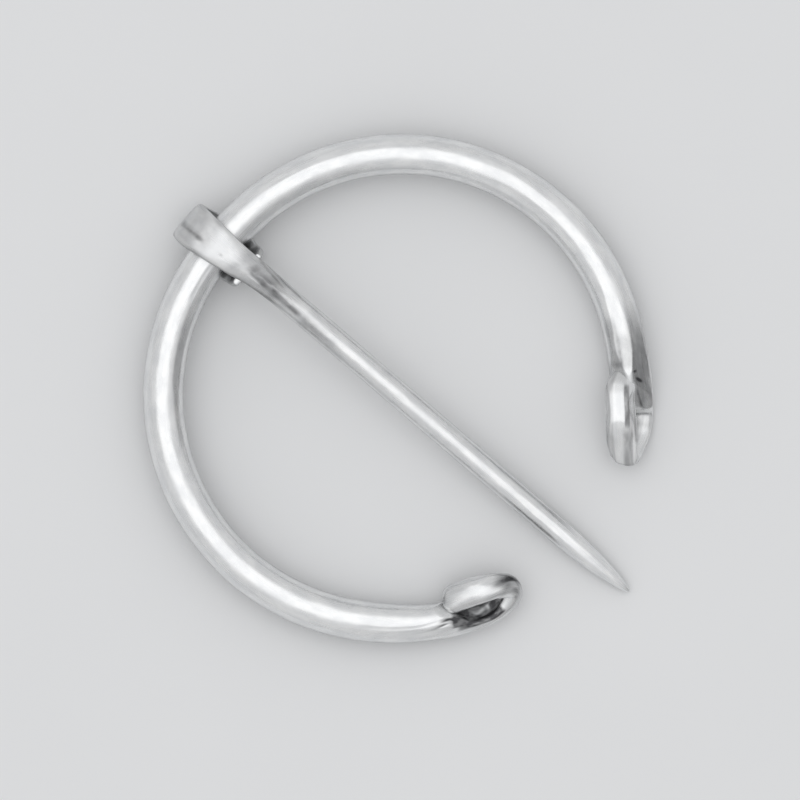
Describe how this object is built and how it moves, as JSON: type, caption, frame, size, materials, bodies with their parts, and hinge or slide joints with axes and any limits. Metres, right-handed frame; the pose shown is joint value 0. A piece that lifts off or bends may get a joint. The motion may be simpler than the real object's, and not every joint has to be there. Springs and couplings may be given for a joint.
{
  "type": "open ring brooch",
  "caption": "Open ring brooch: a round silver wire hoop with hammered, rolled-back ends and a straight pin whose flattened head is wrapped round the hoop.",
  "frame": {"origin": "on the surface that the brooch lies on, under the middle of its outer box", "axes": "+X along the pin from its head to its point as seen from above, +Y across the hoop, +Z out of the front"},
  "size_m": [0.0465, 0.041, 0.0053],
  "materials": {
    "hoop_silver": "satin-polished silver, slightly uneven from the hammer",
    "pin_silver": "satin-polished silver, slightly uneven from the hammer"
  },
  "bodies": {
    "hoop": {"hoop": "hoop_silver"},
    "pin": {"pin": "pin_silver"}
  },
  "joints": [
    {"name": "pin_swing", "type": "hinge", "parent": "hoop", "child": "pin", "pos_m": [-0.01975, -0.00032, 0.00269], "axis": [0, -1, 0], "continuous": true}
  ]
}
